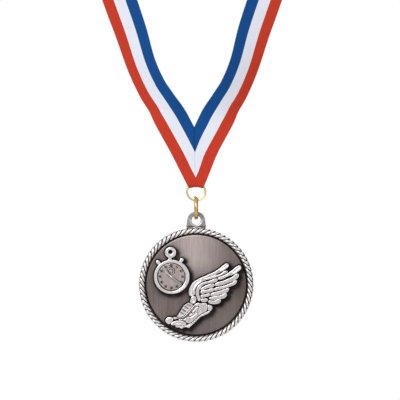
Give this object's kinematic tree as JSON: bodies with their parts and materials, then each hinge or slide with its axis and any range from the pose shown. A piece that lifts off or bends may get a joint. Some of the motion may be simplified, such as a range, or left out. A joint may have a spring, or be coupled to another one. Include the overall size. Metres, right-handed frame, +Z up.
{
  "type": "sports finisher medal",
  "caption": "Round cast medal with a rope border and a stopwatch and winged running shoe in relief, hung by two rings from a striped neck ribbon.",
  "frame": {"origin": "the middle of the neck band, where the ribbon rests on the nape of the neck or on a hook", "axes": "+Z up, the medal hangs below the origin and in front of it and faces -Y; +X is to the right as seen from the front"},
  "size_m": [0.1338, 0.1251, 0.3409],
  "materials": {
    "antique_silver_field": "antique silver, brushed, dark in the recesses",
    "antique_silver_relief": "antique silver, burnished on the high parts",
    "gold_plate": "bright gold plate",
    "pale_gold_plate": "pale gold plate",
    "striped_ribbon": "woven satin polyester in three equal stripes: red, white and blue",
    "sewing_thread": "spun polyester thread"
  },
  "bodies": {
    "ribbon": {"ribbon_left_strap": "striped_ribbon", "ribbon_right_strap": "striped_ribbon", "ribbon_neck_band": "striped_ribbon", "ribbon_fold": "striped_ribbon", "mitre_stitching": "sewing_thread", "fold_stitching": "sewing_thread"},
    "ribbon_ring": {"ribbon_ring": "pale_gold_plate"},
    "link_ring": {"link_ring": "gold_plate"},
    "medal": {"medal_disc": "antique_silver_field", "rope_border": "antique_silver_relief", "suspension_loop": "antique_silver_field", "stopwatch_case": "antique_silver_relief", "stopwatch_dial": "antique_silver_field", "stopwatch_hand": "antique_silver_relief", "stopwatch_bow": "antique_silver_relief", "stopwatch_stem": "antique_silver_relief", "stopwatch_left_button": "antique_silver_relief", "stopwatch_right_button": "antique_silver_relief", "shoe_toe_bumper": "antique_silver_relief", "shoe_toe_cap": "antique_silver_relief", "shoe_laces": "antique_silver_relief", "shoe_tongue": "antique_silver_relief", "shoe_upper": "antique_silver_relief", "shoe_heel_tab": "antique_silver_relief", "shoe_sole": "antique_silver_relief", "wing_leading_feather": "antique_silver_relief", "wing_long_feather_1": "antique_silver_relief", "wing_long_feather_2": "antique_silver_relief", "wing_long_feather_3": "antique_silver_relief", "wing_long_feather_4": "antique_silver_relief", "wing_long_feather_5": "antique_silver_relief", "wing_long_feather_6": "antique_silver_relief", "wing_covert_band": "antique_silver_relief", "wing_covert_1": "antique_silver_relief", "wing_covert_2": "antique_silver_relief", "wing_covert_3": "antique_silver_relief", "wing_covert_4": "antique_silver_relief"}
  },
  "joints": [
    {"name": "ribbon_ring_turn", "type": "hinge", "parent": "ribbon", "child": "ribbon_ring", "pos_m": [0.0018, -0.1195, -0.26675], "axis": [0, 1, 0], "range_deg": [-45, 45]},
    {"name": "link_ring_swing", "type": "hinge", "parent": "ribbon_ring", "child": "link_ring", "pos_m": [0.0018, -0.1195, -0.27078], "axis": [1, 0, 0], "range_deg": [-100, 100]},
    {"name": "medal_swing", "type": "hinge", "parent": "link_ring", "child": "medal", "pos_m": [0.0018, -0.1195, -0.27835], "axis": [0, 1, 0], "range_deg": [-70, 70]}
  ]
}
